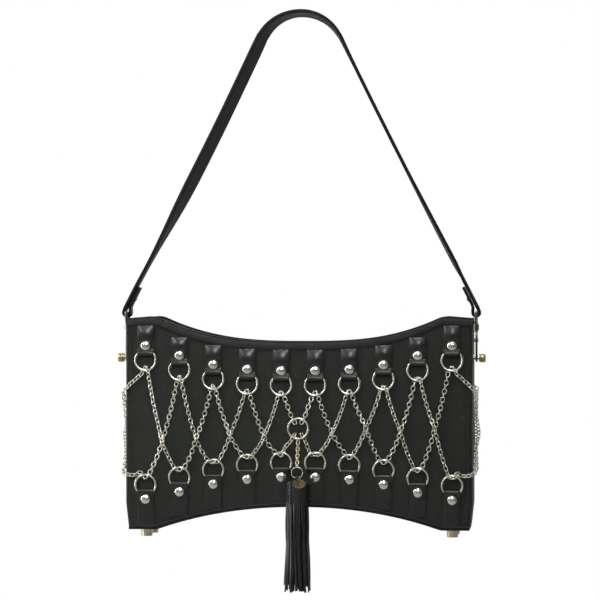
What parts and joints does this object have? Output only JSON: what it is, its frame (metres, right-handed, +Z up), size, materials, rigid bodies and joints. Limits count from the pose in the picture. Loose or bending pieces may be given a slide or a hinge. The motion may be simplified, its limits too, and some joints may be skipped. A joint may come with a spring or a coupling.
{
  "type": "shoulder bag",
  "caption": "Slim leather shoulder bag hung from its strap, laced front, back and sides with chain through ringed tabs, with a zip top and a tassel.",
  "frame": {"origin": "underside of the strap at the top of its arch, where a hand or hook carries it", "axes": "+X to the bag's right seen from the front, +Z up, and the laced front with its tassel faces -Y"},
  "size_m": [0.3122, 0.0959, 0.4882],
  "materials": {
    "strap_leather": "smooth waxed black leather with painted edges",
    "nickel": "pale warm polished nickel",
    "spring_steel": "drawn spring wire",
    "body_leather": "soft charcoal black leather, fine grain",
    "edge_leather": "black leather facing with a darker painted edge",
    "tab_leather": "glossy waxed black leather",
    "lining_cloth": "black twill lining",
    "board": "stiff fibre board",
    "chain_nickel": "pale warm polished nickel chain",
    "pale_gold": "pale gold plated brass",
    "zip_leather": "black leather wings on zip tape",
    "zip_metal": "pale gold zip metal",
    "tassel_leather": "black lambskin, cut into strips",
    "antique_brass": "dull antique brass, blank"
  },
  "bodies": {
    "strap": {"strap": "strap_leather", "left_hook_eye": "nickel", "right_hook_eye": "nickel", "left_hook_body": "nickel", "right_hook_body": "nickel", "gate_pins": "nickel", "gate_springs": "spring_steel"},
    "left_gate": {"left_hook_gate": "nickel"},
    "right_gate": {"right_hook_gate": "nickel"},
    "bag": {"front_panel": "body_leather", "back_panel": "body_leather", "left_gusset": "body_leather", "right_gusset": "body_leather", "base_panel": "body_leather", "front_rim_facing": "edge_leather", "back_rim_facing": "edge_leather", "front_base_welt": "edge_leather", "back_base_welt": "edge_leather", "lining": "lining_cloth", "base_board": "board", "slip_pocket": "lining_cloth", "front_top_tabs": "tab_leather", "front_bottom_tabs": "tab_leather", "back_top_tabs": "tab_leather", "back_bottom_tabs": "tab_leather", "front_rings": "nickel", "back_rings": "nickel", "front_rivets": "nickel", "back_rivets": "nickel", "centre_ring": "nickel", "front_chain_1": "chain_nickel", "front_chain_2": "chain_nickel", "front_chain_3": "chain_nickel", "front_chain_4": "chain_nickel", "front_chain_5": "chain_nickel", "left_side_chain": "chain_nickel", "right_side_chain": "chain_nickel", "back_chain_1": "chain_nickel", "back_chain_2": "chain_nickel", "back_chain_3": "chain_nickel", "back_chain_4": "chain_nickel", "back_chain_5": "chain_nickel", "side_studs": "pale_gold", "stud_plates": "nickel", "feet": "pale_gold", "foot_washers": "nickel", "zip_end_panels": "zip_leather"},
    "front_wing": {"front_zip_wing": "zip_leather", "front_zip_teeth": "zip_metal"},
    "back_wing": {"back_zip_wing": "zip_leather", "back_zip_teeth": "zip_metal"},
    "slider": {"zip_slider": "zip_metal"},
    "pull": {"zip_pull": "zip_metal"},
    "hanger": {"hanger_chain": "nickel", "split_ring": "nickel"},
    "tassel": {"tassel_cap": "tassel_leather", "tassel_skirt": "tassel_leather"},
    "tag_plate": {"tag": "antique_brass", "tag_ring": "antique_brass"}
  },
  "joints": [
    {"name": "bag_swing", "type": "hinge", "parent": "strap", "child": "bag", "pos_m": [0, 0, -0.29], "axis": [1, 0, 0], "range_deg": [-25, 25]},
    {"name": "left_gate_push", "type": "hinge", "parent": "strap", "child": "left_gate", "pos_m": [-0.148, 0.00435, -0.27535], "axis": [-1, 0, 0], "range_deg": [0, 25], "stiffness_Nm_per_rad": 0.004, "springref_deg": -8.59},
    {"name": "right_gate_push", "type": "hinge", "parent": "strap", "child": "right_gate", "pos_m": [0.148, 0.00435, -0.27535], "axis": [-1, 0, 0], "range_deg": [0, 25], "stiffness_Nm_per_rad": 0.004, "springref_deg": -8.59},
    {"name": "front_wing_lift", "type": "hinge", "parent": "bag", "child": "front_wing", "pos_m": [0, -0.0262, -0.28385], "axis": [1, 0, 0], "range_deg": [0, 85]},
    {"name": "back_wing_lift", "type": "hinge", "parent": "bag", "child": "back_wing", "pos_m": [0, 0.0262, -0.28385], "axis": [-1, 0, 0], "range_deg": [0, 85]},
    {"name": "zip_slide", "type": "slide", "parent": "bag", "child": "slider", "axis": [1, 0, 0], "range_m": [-0.2376, 0]},
    {"name": "pull_lift", "type": "hinge", "parent": "slider", "child": "pull", "pos_m": [0.1178, 0, -0.27965], "axis": [0, -1, 0], "range_deg": [0, 100]},
    {"name": "tassel_swing", "type": "hinge", "parent": "bag", "child": "hanger", "pos_m": [0, -0.03339, -0.35735], "axis": [-1, 0, 0], "range_deg": [0, 60]},
    {"name": "tassel_sway", "type": "hinge", "parent": "hanger", "child": "tassel", "pos_m": [0, -0.0454, -0.38528], "axis": [0, 1, 0], "range_deg": [-30, 30]},
    {"name": "tag_lift", "type": "hinge", "parent": "tassel", "child": "tag_plate", "pos_m": [0.00232, -0.0454, -0.38931], "axis": [-1, 0, 0], "range_deg": [0, 60]}
  ]
}
